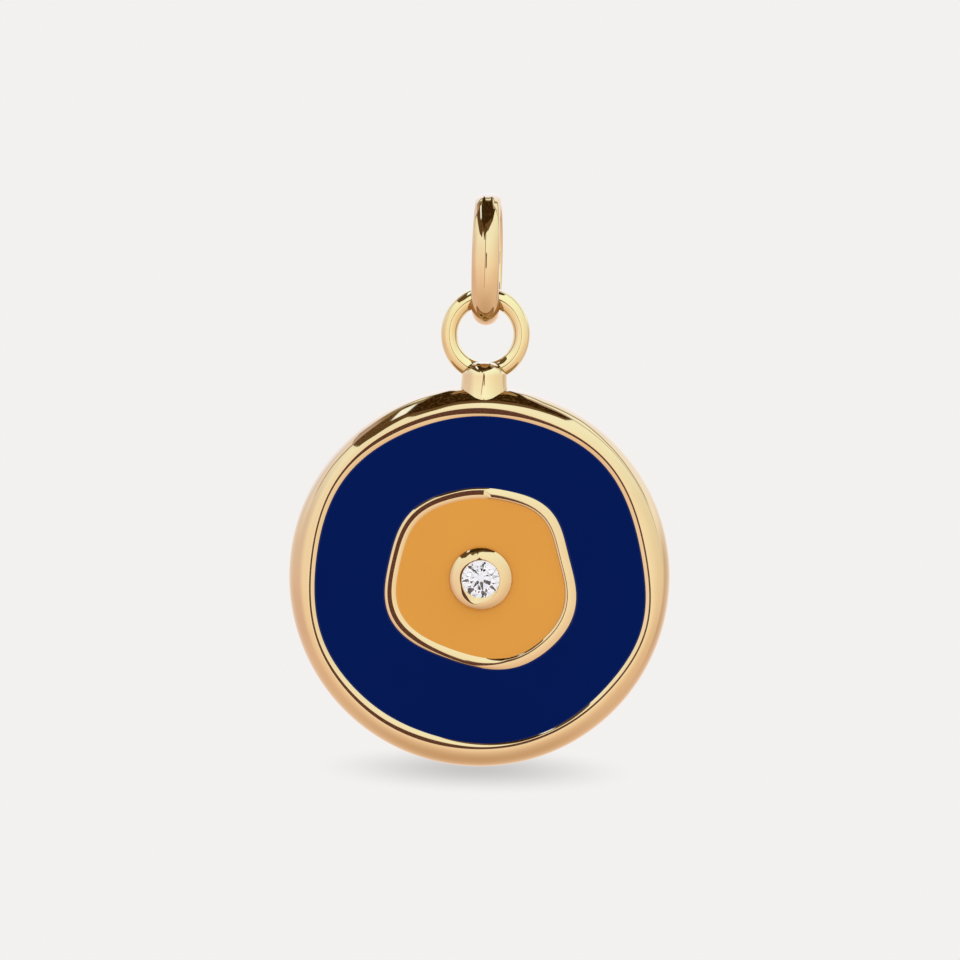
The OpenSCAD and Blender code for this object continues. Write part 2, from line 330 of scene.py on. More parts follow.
def add_opening(sums, colour, across, ahead, above):
    """Adds the dark opening, streaked with brown, and the pale strut that crosses it."""
    back = sums.line(across, OPENING_BACK)
    opening = sums.inside(ahead, back, sums.line(across, OPENING_FRONT), 0.03)
    place = sums.node("ShaderNodeCombineXYZ")
    sums.put(place.inputs[0], sums.times(across, 70))
    sums.put(place.inputs[1], sums.times(ahead, 4))
    streaks = sums.node("ShaderNodeTexNoise")
    sums.put(streaks.inputs["Vector"], place.outputs[0])
    streaks.inputs["Scale"].default_value = 1
    streaks.inputs["Detail"].default_value = 3
    worn = sums.math("MULTIPLY_ADD", sums.share(across, -0.4, -0.5), 0.17, streaks.outputs[0])
    dark = sums.mix(sums.share(worn, 0.48, 0.72), OPENING, FRINGE)
    colour = sums.mix(sums.times(opening, above), colour, dark)
    slanted = sums.math("MULTIPLY_ADD", ahead, STRUT_SLANT, across)
    strut = sums.inside(slanted, *STRUT_ACROSS, 0.012)
    strut = sums.times(strut, sums.inside(ahead, *STRUT_AHEAD, 0.08))
    return sums.mix(sums.times(strut, above), colour, STRUT)


print("opening of", len(OPENING_FRONT) + len(OPENING_BACK), "corners")

# %% [markdown]
# ## The whole room
# The walls, the ceiling and the slit of the lens make one world shader. Three kinds of ray
# get something else. Light that was mirrored by metal twice comes out of narrow gaps, where
# real gold looks deeper. Rays through the stone see a whiter room with a few dark gaps, as a
# cut stone sends most of them back to the front. Matt surfaces see plain white.

# %% Light tent
SLIT_ACROSS = (-0.042, 0.034)
SLIT_UP = (-0.2, 0.13)
DEEP = (0.45, 0.33, 0.27)
STONE_LIGHT = (1.25, 1.24, 1.28)
STONE_DARK = (0.02, 0.02, 0.03)


def light_tent():
    """The room that the gold reflects, as a colour for each direction."""
    world = bpy.data.worlds.new("light_tent")
    world.use_nodes = True
    world.cycles.sampling_method = "NONE"
    tree = world.node_tree
    tree.nodes.clear()
    sums = Sums(tree)
    way = sums.node("ShaderNodeTexCoord").outputs["Generated"]
    split = sums.node("ShaderNodeSeparateXYZ")
    sums.put(split.inputs[0], way)
    x, back, up = split.outputs
    front = sums.times(back, -1)
    colour = tent_walls(sums, x, front, up)
    height = sums.math("MAXIMUM", up, 0.02)
    across = sums.math("DIVIDE", x, height)
    ahead = sums.math("DIVIDE", front, height)
    above = sums.share(up, 0.05, 0.3)
    colour = past_seam(sums, colour, x, front, across, ahead, above)
    colour = add_fringe(sums, colour, up, across, ahead)
    colour = add_opening(sums, colour, across, ahead, above)

    # The slit that the lens looks through
    slit = sums.times(sums.inside(x, *SLIT_ACROSS, 0.008), sums.inside(up, *SLIT_UP, 0.03))
    slit = sums.times(slit, sums.share(front, 0.0, 0.2))
    colour = sums.mix(slit, colour, DARK)

    # The depth is 2 after one mirror and 3 after two
    path = sums.node("ShaderNodeLightPath")
    deep = sums.mix(1.0, colour, DEEP, "MULTIPLY")
    colour = sums.mix(sums.share(path.outputs["Ray Depth"], 2.4, 2.6), colour, deep)

    # What shows through the stone
    gaps = sums.inside(sums.math("MULTIPLY_ADD", x, 0.5, up), -0.40, -0.27, 0.02)
    gaps = sums.math("MAXIMUM", gaps, sums.share(front, 0.978, 0.986))
    clear = sums.mix(sums.times(gaps, 0.93), STONE_LIGHT, STONE_DARK)
    colour = sums.mix(path.outputs["Is Transmission Ray"], colour, clear)

    colour = sums.mix(path.outputs["Is Diffuse Ray"], colour, MATT_LIGHT)
    colour = sums.mix(path.outputs["Is Camera Ray"], colour, BACKDROP)
    background = sums.node("ShaderNodeBackground")
    sums.put(background.inputs["Color"], colour)
    output = sums.node("ShaderNodeOutputWorld")
    tree.links.new(background.outputs[0], output.inputs[0])
    return world


bpy.context.scene.world = light_tent()
print("light tent of", len(bpy.context.scene.world.node_tree.nodes), "nodes")

# %% [markdown]
# ## Floor
# The pendant hovers just over a pale table, and all that shows of the table is a small soft
# shadow. A lit sheet of paper would grow darker far around the pendant and pick up its gold.
# Here the sheet glows evenly in the backdrop's colour. A soft oval darkens it at the foot of
# the disc, and an Ambient Occlusion node lets the oval show only where the pendant is close
# overhead, so that it goes when the pendant swings away. Mirrors don't see the sheet: what
# they show below is the tan table of the light tent.

# %% Floor
FLOOR_DROP = 0.15
FLOOR_R = 900
SHADOW_REACH = 16.0
SHADOW_SIZE = (8.0, 13.5)
SHADOW = (0.575, 0.57, 0.56)


def build_floor():
    height = (DISC_Z - DISC_R - FLOOR_DROP) * MM
    corners = [
        (FLOOR_R * MM * math.cos(a), FLOOR_R * MM * math.sin(a), height)
        for a in np.linspace(0, 2 * math.pi, 96, endpoint=False)]
    mesh = bpy.data.meshes.new("floor")
    mesh.from_pydata(corners, [], [tuple(range(len(corners)))])
    floor = bpy.data.objects.new("floor", mesh)
    bpy.context.scene.collection.objects.link(floor)
    floor.visible_glossy = False
    floor.visible_transmission = False
    paper = bpy.data.materials.new("floor_paper")
    paper.use_nodes = True
    sums = Sums(paper.node_tree)
    shader = paper.node_tree.nodes["Principled BSDF"].inputs
    shader["Base Color"].default_value = (0, 0, 0, 1)
    shader["Roughness"].default_value = 1
    shader["Specular IOR Level"].default_value = 0
    near = sums.node("ShaderNodeAmbientOcclusion", samples=24)
    near.inputs["Distance"].default_value = SHADOW_REACH * MM
    shaded = sums.share(near.outputs["AO"], 1.0, 0.9)
    mapping = sums.node("ShaderNodeMapping")
    mapping.inputs["Scale"].default_value = (
        1 / (SHADOW_SIZE[0] * MM), 1 / (SHADOW_SIZE[1] * MM), 0)
    sums.put(mapping.inputs["Vector"], sums.node("ShaderNodeTexCoord").outputs["Object"])
    away = sums.node("ShaderNodeVectorMath", operation="LENGTH")
    sums.put(away.inputs[0], mapping.outputs[0])
    shaded = sums.times(shaded, sums.share(away.outputs["Value"], 1.0, 0.0))
    sums.put(shader["Emission Color"], sums.mix(shaded, BACKDROP, SHADOW))
    shader["Emission Strength"].default_value = 1
    mesh.materials.append(paper)


build_floor()
print("floor", FLOOR_DROP, "mm under the disc")

# %% [markdown]
# ## Helpers for meshes
# Nearly all of the pendant is a skin over rings of points: the disc's rings run round its
# axis, and the bail's rings are its sections. One function turns rings into a mesh. Where all
# the points of a ring fall together, as in the middle of the disc, they are merged.

# %% Mesh helpers
DEGREE = math.pi / 180


def new_piece(name, points, faces):
    """A mesh object from points in millimetres, with its faces turned outwards."""
    mesh = bpy.data.meshes.new(name)
    mesh.from_pydata([tuple(point) for point in np.asarray(points) * MM], [], faces)
    work = bmesh.new()
    work.from_mesh(mesh)
    bmesh.ops.remove_doubles(work, verts=work.verts, dist=1e-8)
    bmesh.ops.recalc_face_normals(work, faces=work.faces)
    work.to_mesh(mesh)
    work.free()
    piece = bpy.data.objects.new(name, mesh)
    bpy.context.scene.collection.objects.link(piece)
    return piece


def skin(name, rings, tube=False):
    """A skin over rings of points, open at its ends, or joined end to end as a tube."""
    rings = np.asarray(rings)
    count, around, _ = rings.shape
    faces = []
    for i in range(count if tube else count - 1):
        near = i * around
        far = (i + 1) % count * around
        for j in range(around):
            k = (j + 1) % around
            faces.append((near + j, far + j, far + k, near + k))
    return new_piece(name, rings.reshape(-1, 3), faces)


def smooth(piece, angle):
    """Smooth shading, with a crease wherever two faces meet at more than an angle."""
    piece.data.shade_smooth()
    piece.data.set_sharp_from_angle(angle=math.radians(angle))
    return piece


# %% [markdown]
# ## The two wavy outlines
# The pocket for the blue enamel and the wall round the iris look cut by hand: circles with a
# few soft corners. Each corner is a bump with a place, a height and a spread, and an outline
# is a circle times the sum of its bumps. Drawing it as a free curve would look the same, but
# the corners can be moved one at a time.

# %% Wavy outlines
# Each corner has a place in degrees, a height as a share of the circle, and a spread
FIELD_CORNERS = [
    (45, 0.043, 24), (145, 0.041, 25), (205, 0.045, 25), (236, 0.013, 16),
    (295, 0.04, 40), (344, 0.046, 20), (90, 0.006, 20)]
IRIS_CORNERS = [
    (46, 0.15, 26), (90, 0.05, 24), (138, 0.12, 30),
    (204, 0.153, 30), (297, 0.122, 29), (340, 0.175, 30)]
AROUND = 360
turns = np.arange(AROUND) * 360 / AROUND


def bumps(corners, angles):
    """The sum of soft bumps at angles, each with its place, height and spread."""
    total = np.zeros_like(angles)
    for at, rise, spread in corners:
        apart = np.abs((angles - at + 540) % 360 - 180)
        total += rise * np.exp(-((apart / spread) ** 2))
    return total


field = FIELD_R * (1 + bumps(FIELD_CORNERS, turns))
iris = IRIS_R * (1 + bumps(IRIS_CORNERS, turns))


def ring(radius, height, x=0, y=0):
    """A ring of the disc, hung in its place with its front towards -Y."""
    angles = turns * DEGREE
    radius = np.broadcast_to(radius, turns.shape)
    height = np.broadcast_to(height, turns.shape)
    return np.stack([
        radius * np.cos(angles) + x, -height, radius * np.sin(angles) + y + DISC_Z], axis=-1)


print("field from", round(field.min(), 2), "to", round(field.max(), 2), "mm")

# %% [markdown]
# ## Disc
# The disc is cast with a pocket for the enamel. Its rim is domed, and between the dome and
# the pocket runs a hair-thin flat, the crest, that mirrors the dark slit of the lens. Hand
# filing left it wider at the top and at the lower left. The wall round the iris is a low
# ridge. On the left the maker stoned it flat together with the enamel, and on the right it
# kept its round top. A lathe tool or a revolve can't vary with the angle, so both are rows of
# rings with a width and a height for each degree.

# %% Rim
EDGE_FOOT = -0.25
BEVEL_W = 0.2
CREST_W = 0.085
BEVEL_BUMPS = [(90, -0.045, 20), (115, 0.07, 40), (240, 0.12, 30), (292, -0.06, 18)]
CREST_BUMPS = [(90, 0.10, 12), (122, 0.08, 16), (235, 0.06, 28), (272, -0.075, 14)]
FLAT_STEPS = (0.08, 0.5, 0.92)


def rim_rings():
    """From the middle of the back, round the edge, over the dome and down to the enamel."""
    rows = [(r, -CREST_Z) for r in (0, 2, 4, 6, 7.4, 8, DISC_R - BACK_ROUND - 0.05)]
    for p in np.linspace(0, 90, 13):
        rows.append((
            DISC_R - BACK_ROUND * (1 - math.sin(p * DEGREE)),
            -CREST_Z + BACK_ROUND * (1 - math.cos(p * DEGREE))))
    rows.append((DISC_R, EDGE_FOOT))
    bevel = BEVEL_W + bumps(BEVEL_BUMPS, turns)
    flat = CREST_W + bumps(CREST_BUMPS, turns)
    crest = field + bevel + flat / 2
    high = CREST_Z - bumps([(90, 0.025, 50)], turns)
    for p in np.linspace(0, 90, 37):
        rows.append((crest + (DISC_R - crest) * math.cos(p * DEGREE), high * math.sin(p * DEGREE)))
    rows += [(crest - flat * s, high) for s in FLAT_STEPS]
    power = 1.3 + bumps([(270, 0.7, 45)], turns)
    for s in np.linspace(0, 1, 11):
        rows.append((crest - flat - (bevel - flat / 2) * s, high - (high - ENAMEL_Z) * s ** power))
    return rows


print("rim of", len(rim_rings()), "rings")

# %% Wall round the iris
# Where the flat starts and ends on its way across the wall, and how high the wall stands
WALL_START = [
    (0, 0.75), (84, 0.75), (88, 0.25), (222, 0.22), (262, 0.08), (268, 0.1), (290, 0.76),
    (360, 0.75)]
WALL_END = [
    (0, 0.80), (84, 0.80), (88, 0.60), (222, 0.59), (262, 0.13), (268, 0.12), (290, 0.80),
    (360, 0.80)]
WALL_LOW = [(0, 1), (84, 1), (88, 0.65), (222, 0.6), (262, 0.8), (290, 1), (360, 1)]


def wall_rings():
    """Up the wall round the iris, over its flat and down to the orange enamel."""
    start = np.interp(turns, *zip(*WALL_START))
    end = np.interp(turns, *zip(*WALL_END))
    top = WALL_H * np.interp(turns, *zip(*WALL_LOW))
    rows = [(start * s, top * (1 - (1 - s) ** 2)) for s in np.linspace(0, 1, 13)]
    rows += [(start + (end - start) * s, top) for s in FLAT_STEPS]
    rows += [(end + (1 - end) * s, top * (1 - s * s)) for s in np.linspace(0, 1, 13)]
    return [(iris * (1 - across * WALL_W / IRIS_R), ENAMEL_Z + rise) for across, rise in rows]


print("wall of", len(wall_rings()), "rings")

# %% Disc
SEAT_R = 1.35
SEAT_DEPTH = 0.98


def build_disc():
    """The rim, the two pockets with the wall between them, and a round seat for the bezel."""
    seat = ENAMEL_Z - SEAT_DEPTH
    rows = rim_rings()
    rows += [(field, FLOOR_Z), (iris, FLOOR_Z)]
    rows += wall_rings()
    rows += [
        (iris * (1 - WALL_W / IRIS_R), FLOOR_Z), (2.2, FLOOR_Z), (SEAT_R, FLOOR_Z),
        (SEAT_R, seat), (0, seat)]
    return smooth(skin("disc", [ring(r, z) for r, z in rows]), 30)


disc = build_disc()
print("disc of", len(disc.data.polygons), "faces")

# %% [markdown]
# ## Bezel
# The stone sits in a cup of metal that was pushed over its edge. The outside is domed. Its
# crest hugs the stone on the right, and swings away from it at the lower left, where the
# setter's tool left a flat crescent. The cup is turned once round the stone's own centre,
# which lies a little beside the disc's, and its inside follows the stone to leave a seat.


# %% Bezel
LIP_W = 0.015
CRESCENT_W = 0.012
LIP_SLOPE = 0.2
DOME_END = 80 * DEGREE
LIP_BUMPS = [(225, 0.06, 25), (256, 0.26, 20), (295, 0.14, 30)]
CRESCENT_BUMPS = [(95, 0.08, 8), (165, 0.09, 40), (228, 0.16, 20), (285, -0.01, 25)]


def build_bezel():
    """From the foot, over the dome and its crest, and down the lip to the stone's seat."""
    crest = LIP_R + LIP_W + bumps(LIP_BUMPS, turns)
    flat = CRESCENT_W + bumps(CRESCENT_BUMPS, turns)
    outer = crest + flat
    top = ENAMEL_Z + BEZEL_H
    low = top - LIP_SLOPE * (crest - LIP_R)
    foot = ENAMEL_Z - BEZEL_DEPTH
    rows = [(0, foot), (BEZEL_R, foot)]
    for p in np.linspace(0, DOME_END, 25):
        inwards = (1 - math.cos(p)) / (1 - math.cos(DOME_END))
        rise = BEZEL_H * math.sin(p) / math.sin(DOME_END)
        rows.append((BEZEL_R + (outer - BEZEL_R) * inwards, ENAMEL_Z + rise))
    rows += [(crest + flat * s, top) for s in FLAT_STEPS[::-1] + (0,)]
    for s in np.linspace(0, 1, 7)[1:]:
        rows.append((crest + (LIP_R - crest) * s, top + (low - top) * s ** 1.05))
    wide = STONE_R + STONE_GAP
    rows += [
        (LIP_R, GIRDLE_TOP + LIP_OVER), (wide, GIRDLE_TOP + STONE_GAP),
        (wide, GIRDLE_FOOT - STONE_GAP), (0, CULET_Z - 2 * STONE_GAP)]
    return smooth(skin("bezel", [ring(r, z, STONE_X, STONE_Y) for r, z in rows]), 30)


bezel = build_bezel()
print("bezel of", len(bezel.data.polygons), "faces")

# %% [markdown]
# ## Post and ring
# A short post with a flared foot is soldered to the top of the disc, and a ring of thick wire
# stands on it. The wire is a little fatter at the top and foot of the ring, and the post's
# shoulder runs up over it. Joining them with a Boolean would leave slivers that shade badly,
# so each is a closed skin that runs into its neighbour, as metal and solder do.


# %% Post
FLARE_SINK = 0.5
SHOULDER_SHARE = 0.7
SHOULDER_FLAT = 0.35


def build_post():
    """An oval post, flared where it meets the disc, with a rounded shoulder."""
    angles = np.arange(160) * 2 * math.pi / 160
    foot = DISC_TOP_Z - BACK_ROUND - POST_SINK
    top = RING_Z - RING_HOLE / 2
    shoulder = top - END_WIRE * SHOULDER_SHARE
    rows = [(0, foot), (POST_R + POST_FLARE, foot)]
    low = DISC_TOP_Z - FLARE_SINK
    for s in np.linspace(0, 1, 17)[:-1]:
        rows.append((POST_R + POST_FLARE * (1 - s) ** 2, low + (shoulder - low) * s))
    for p in np.linspace(0, 90, 19):
        rows.append((
            POST_R * (SHOULDER_FLAT + (1 - SHOULDER_FLAT) * math.cos(p * DEGREE)),
            shoulder + (top - shoulder) * math.sin(p * DEGREE)))
    rows.append((0, top))
    depth = POST_T / (2 * POST_R)
    return smooth(skin("post", [
        np.stack([r * np.cos(angles), r * depth * np.sin(angles), np.full_like(angles, z)], axis=-1)
        for r, z in rows]), 35)


post = build_post()
print("post of", len(post.data.polygons), "faces")


# %% Ring
def build_ring():
    """A torus of wire, fatter where it hangs and where it stands."""
    around = np.arange(48) * 2 * math.pi / 48
    rings = []
    for turn in np.arange(240) * 2 * math.pi / 240:
        thick = WIRE + (END_WIRE - WIRE) * math.sin(turn) ** 2
        r = RING_HOLE / 2 + thick * (1 + np.cos(around)) / 2
        rings.append(np.stack([
            r * math.cos(turn), WIRE / 2 * np.sin(around), RING_Z + r * math.sin(turn)], axis=-1))
    return smooth(skin("wire_ring", rings, tube=True), 60)


wire_ring = build_ring()
print("ring of", len(wire_ring.data.polygons), "faces")

# %% [markdown]
# ## Bail
# The bail is one closed band, flat inside and domed outside, so its section is drawn once and
# carried round an ellipse. Its thickness and width change a little on the way: it is slimmer
# at the top and rounder at the foot, where the ring hangs.

# %% Section of the bail
# Turn from the top, share of the width, thickness, and share of it where the dome starts
BAIL_ROWS = [(0, 0.93, 0.7, 0.55), (90, 1.0, 0.7, 0.55), (180, 1.0, 0.75, 0.15)]


def bail_value(column, turn):
    """A value of the bail's table, eased between its rows."""
    turn = 360 - turn if turn > 180 else turn
    a, b = BAIL_ROWS[:2] if turn < 90 else BAIL_ROWS[1:]
    ease = (1 - math.cos(math.pi * (turn - a[0]) / (b[0] - a[0]))) / 2
    return a[column] + (b[column] - a[column]) * ease


def bail_section(turn):
    """Points across the band and outwards from the hole."""
    half = BAIL_W * bail_value(1, turn) / 2
    thick = bail_value(2, turn)
    side = max(thick * bail_value(3, turn), BAIL_EDGE * 1.1)
    points = [(-half + BAIL_EDGE * (1 - math.sin(p)), BAIL_EDGE * (1 - math.cos(p)))
              for p in np.linspace(90, 0, 7) * DEGREE]
    points += [(x * (half - BAIL_EDGE), 0) for x in (-0.5, 0, 0.5)]
    points += [(half - BAIL_EDGE * (1 - math.sin(p)), BAIL_EDGE * (1 - math.cos(p)))
               for p in np.linspace(0, 90, 7) * DEGREE]
    points += [(half * math.cos(p), side + (thick - side) * math.sin(p))
               for p in np.linspace(0, 180, 41) * DEGREE]
    return points


print("section of", len(bail_section(0)), "points")

# %% Bail
BAIL_FIT = 0.999


def build_bail():
    """The section carried round the hole, a hair slim, to stay inside the solid's box."""
    y = BAIL_HOLE_D / 2
    z = BAIL_HOLE_H / 2
    spin = BAIL_TURN * DEGREE
    rings = []
    for turn in np.arange(240) * 360 / 240:
        t = turn * DEGREE
        out = Vector((math.sin(t) / y, math.cos(t) / z)).normalized()
        section = []
        for across, away in bail_section(turn):
            deep = BAIL_FIT * (y * math.sin(t) + away * out[0])
            section.append((
                across * math.cos(spin) - deep * math.sin(spin),
                across * math.sin(spin) + deep * math.cos(spin),
                z * (math.cos(t) - 1) + away * out[1]))
        rings.append(section)
    return smooth(skin("bail_loop", rings, tube=True), 35)


bail = build_bail()
print("bail of", len(bail.data.polygons), "faces")

# %% [markdown]
# ## Enamel
# Enamel is poured into its pocket as a liquid and cured, so it creeps up the metal by a
# hair's breadth at its edges. Each enamel is a flat sheet with that small rise.

# %% Enamel
CREEP_H = 0.006
CREEP_W = 0.09


def build_enamel(name, outer, inner, x=0, y=0):
    """A sheet between two outlines. The inner one may have a centre of its own."""
    rings = [ring(inner, FLOOR_Z, x, y), ring(outer, FLOOR_Z)]
    for s in np.linspace(0, 1, 6):
        rings.append(ring(outer - CREEP_W * s, ENAMEL_Z - CREEP_H + CREEP_H * (1 - s) ** 2))
    for s in np.linspace(0, 1, 6)[::-1]:
        rings.append(ring(inner + CREEP_W * s, ENAMEL_Z - CREEP_H + CREEP_H * (1 - s) ** 2, x, y))
    return smooth(skin(name, rings, tube=True), 40)


blue = build_enamel("blue_field", field, iris)
amber = build_enamel("amber_iris", iris * (1 - WALL_W / IRIS_R), BEZEL_R, STONE_X, STONE_Y)
print("enamels of", len(blue.data.polygons), "and", len(amber.data.polygons), "faces")

# %% [markdown]
# ## Stone
# A round brilliant has 57 facets, and every one of them is a mirror inside the stone. They
# are drawn from the proportions of the cut, and stay flat.


# %% Stone
STONE_TURN = math.radians(9)
TABLE_R = STONE_R * 0.57
STAR_R = STONE_R * 0.78
LOWER_R = STONE_R * 0.24


def stone_points():
    """The corners of the facets, as radius, angle and height, from the table to the point."""
    half = math.radians(22.5)
    slope = (TABLE_Z - GIRDLE_TOP) / (STONE_R - TABLE_R)
    star_z = TABLE_Z - slope * (STAR_R * math.cos(half) - TABLE_R)
    lower_z = CULET_Z + (GIRDLE_FOOT - CULET_Z) * LOWER_R * math.cos(half) / STONE_R
    points = [(TABLE_R, 2 * i * half, TABLE_Z) for i in range(8)]
    points += [(STAR_R, (2 * i + 1) * half, star_z) for i in range(8)]
    points += [(STONE_R, i * half, GIRDLE_TOP) for i in range(16)]
    points += [(STONE_R, i * half, GIRDLE_FOOT) for i in range(16)]
    points += [(LOWER_R, (2 * i + 1) * half, lower_z) for i in range(8)]
    return points + [(0, 0, CULET_Z)]


def build_stone():
    """Eight wedges of nine facets each, under one flat table."""
    star, top, foot, lower, culet = 8, 16, 32, 48, 56
    faces = [tuple(range(8))]
    for i in range(8):
        after, before = (i + 1) % 8, (i + 7) % 8
        g, g1, g2 = 2 * i, 2 * i + 1, (2 * i + 2) % 16
        faces += [
            (i, after, star + i),
            (i, star + i, top + g, star + before),
            (star + i, top + g1, top + g),
            (star + i, top + g2, top + g1),
            (top + g, top + g1, foot + g1, foot + g),
            (top + g1, top + g2, foot + g2, foot + g1),
            (foot + g, foot + g1, lower + i),
            (foot + g1, foot + g2, lower + i),
            (foot + g, lower + i, culet, lower + before)]
    places = [
        (r * math.cos(a + STONE_TURN) + STONE_X, -z,
         r * math.sin(a + STONE_TURN) + STONE_Y + DISC_Z)
        for r, a, z in stone_points()]
    return new_piece("brilliant", places, faces)


stone = build_stone()
print("stone of", len(stone.data.polygons), "facets")

# %% [markdown]
# ## Shared finishes
# Four effects are used by more than one material, so each is a node group: the slow waves
# that hand polishing leaves, the hair-thin scratches of wear, the drift of tone in plate and
# enamel, and a fine dark line down the front, a painted reflection of the lens slit.


# %% Node groups
def new_group(name, inputs, outputs):
    """An empty node group with named inputs and outputs."""
    tree = bpy.data.node_groups.new(name, "ShaderNodeTree")
    for label, kind, value in inputs:
        socket = tree.interface.new_socket(label, in_out="INPUT", socket_type=kind)
        socket.default_value = value
    for label, kind in outputs:
        tree.interface.new_socket(label, in_out="OUTPUT", socket_type=kind)
    sums = Sums(tree)
    return tree, sums, sums.node("NodeGroupInput").outputs, sums.node("NodeGroupOutput").inputs


def noise(sums, place, scale, detail=2.0, stretch=None):
    """A cloud of noise at a scale per metre, drawn out along an axis if stretch is given."""
    if stretch:
        mapping = sums.node("ShaderNodeMapping")
        mapping.inputs["Scale"].default_value = stretch
        mapping.inputs["Rotation"].default_value = (0.3, 0.5, 0.9)
        sums.put(mapping.inputs["Vector"], place)
        place = mapping.outputs[0]
    made = sums.node("ShaderNodeTexNoise")
    sums.put(made.inputs["Vector"], place)
    sums.put(made.inputs["Scale"], scale)
    made.inputs["Detail"].default_value = detail
    return made.outputs[0]


def polish_waves():
    """Slow waves of hand polishing, as a height in metres."""
    tree, sums, given, result = new_group(
        "polish_waves",
        [("Scale", "NodeSocketFloat", 700.0), ("Height", "NodeSocketFloat", 1e-6)],
        [("Height", "NodeSocketFloat")])
    place = sums.node("ShaderNodeTexCoord").outputs["Object"]
    waves = noise(sums, place, given["Scale"], 1.0)
    sums.put(result["Height"], sums.times(waves, given["Height"]))
    return tree


def hairlines():
    """Hair-thin scratches in three directions, as a mask."""
    tree, sums, given, result = new_group(
        "hairlines",
        [("Scale", "NodeSocketFloat", 3000.0), ("Amount", "NodeSocketFloat", 0.5)],
        [("Mask", "NodeSocketFloat")])
    place = sums.node("ShaderNodeTexCoord").outputs["Object"]
    total = 0.0
    for stretch in ((1, 12, 12), (10, 1, 14), (14, 11, 1)):
        cloud = noise(sums, place, given["Scale"], 2.0, stretch)
        apart = sums.math("ABSOLUTE", sums.add(cloud, -0.5))
        total = sums.add(total, sums.math("SUBTRACT", 1, sums.share(apart, 0.0, 0.012)))
    sums.put(result["Mask"], sums.times(total, given["Amount"]))
    return tree


def tone_drift():
    """Soft clouds between two shades of one colour."""
    tree, sums, given, result = new_group(
        "tone_drift",
        [("Shade A", "NodeSocketColor", (1, 1, 1, 1)), ("Shade B", "NodeSocketColor", (1, 1, 1, 1)),
         ("Scale", "NodeSocketFloat", 300.0)],
        [("Color", "NodeSocketColor")])
    place = sums.node("ShaderNodeTexCoord").outputs["Object"]
    cloud = sums.share(noise(sums, place, given["Scale"], 3.0), 0.3, 0.7)
    sums.put(result["Color"], sums.mix(cloud, given["Shade A"], given["Shade B"]))
    return tree


# A painted reflection of the lens slit: a fine dark line on the front of the post and the bail
def slit_reflection_line():
    """A fine upright line down the front, from High to Low, that runs out downwards, as a mask."""
    tree, sums, given, result = new_group(
        "slit_reflection_line",
        [("At", "NodeSocketFloat", 0.0), ("Slant", "NodeSocketFloat", 0.0),
         ("Width", "NodeSocketFloat", 5e-5), ("High", "NodeSocketFloat", 0.0),
         ("Low", "NodeSocketFloat", -0.01)],
        [("Mask", "NodeSocketFloat")])
    split = sums.node("ShaderNodeSeparateXYZ")
    sums.put(split.inputs[0], sums.node("ShaderNodeTexCoord").outputs["Object"])
    x, y, z = split.outputs
    down = sums.node("ShaderNodeMapRange")
    for label, value in (("Value", z), ("From Min", given["High"]), ("From Max", given["Low"])):
        sums.put(down.inputs[label], value)
    down = down.outputs["Result"]
    middle = sums.add(given["At"], sums.times(given["Slant"], down))
    apart = sums.math("ABSOLUTE", sums.math("SUBTRACT", x, middle))
    wide = sums.times(given["Width"], sums.math("MULTIPLY_ADD", down, -0.35, 0.5))
    mask = sums.share(sums.math("DIVIDE", apart, wide), 1.2, 0.7)
    mask = sums.times(mask, sums.inside(down, 0.01, 0.97, 0.01))
    sums.put(result["Mask"], sums.times(mask, sums.share(y, 0.0, -0.0002)))
    return tree


WAVES = polish_waves()
HAIRLINES = hairlines()
DRIFT = tone_drift()
SLIT_LINE = slit_reflection_line()
print("groups", WAVES.name, HAIRLINES.name, DRIFT.name, SLIT_LINE.name)

# %% [markdown]
# ## Helpers for materials
# Each material below is one Principled shader with the groups above placed in front of it.
# These helpers start a material, place a group with values of its own, and turn a height in
# metres into a bump.


# %% Material helpers
def new_material(name):
    made = bpy.data.materials.new(name)
    made.use_nodes = True
    return made, Sums(made.node_tree), made.node_tree.nodes["Principled BSDF"].inputs


def use(sums, group, **values):
    """Places a node group in a material with values of its own."""
    made = sums.node("ShaderNodeGroup", node_tree=group)
    for name, value in values.items():
        given = (*value, 1) if isinstance(value, tuple) else value
        sums.put(made.inputs[name.replace("_", " ")], given)
    return made.outputs


def bump(sums, height, normal):
    made = sums.node("ShaderNodeBump")
    made.inputs["Strength"].default_value = 1
    made.inputs["Distance"].default_value = 1
    sums.put(made.inputs["Height"], height)
    sums.put(normal, made.outputs[0])


print("helpers for", len(bpy.data.node_groups), "groups")

# %% [markdown]
# ## Gold plate
# The metal is polished brass under a plate of pale yellow gold. A mirror needs very little:
# a base colour that drifts slightly where the plate is thicker, a roughness near nothing that
# the hairlines raise, and waves so shallow that they only bend the reflections. In the
# photograph the post and the ring look brighter and yellower than the disc, the bezel and the
# bail, so they get shades of their own.

# %% Gold
PALE = ((0.95, 0.80, 0.50), (0.93, 0.77, 0.465))
BRIGHT_YELLOW = ((1.0, 0.90, 0.57), (0.99, 0.87, 0.53))
RICH = ((1.0, 0.92, 0.55), (1.0, 0.89, 0.50))
# The painted reflection of the lens slit: its solder-brown colour, and its place and size on the
# post and on the bail
SLIT_REFLECTION = (0.30, 0.14, 0.07)
POST_SLIT_LINE = {"At": -2e-5, "Slant": -1.2e-4, "Width": 6e-5, "High": -0.00776, "Low": -0.00885}
BAIL_SLIT_LINE = {"At": -9e-5, "Slant": -2e-5, "Width": 4e-5, "High": -0.0008, "Low": -0.0038}


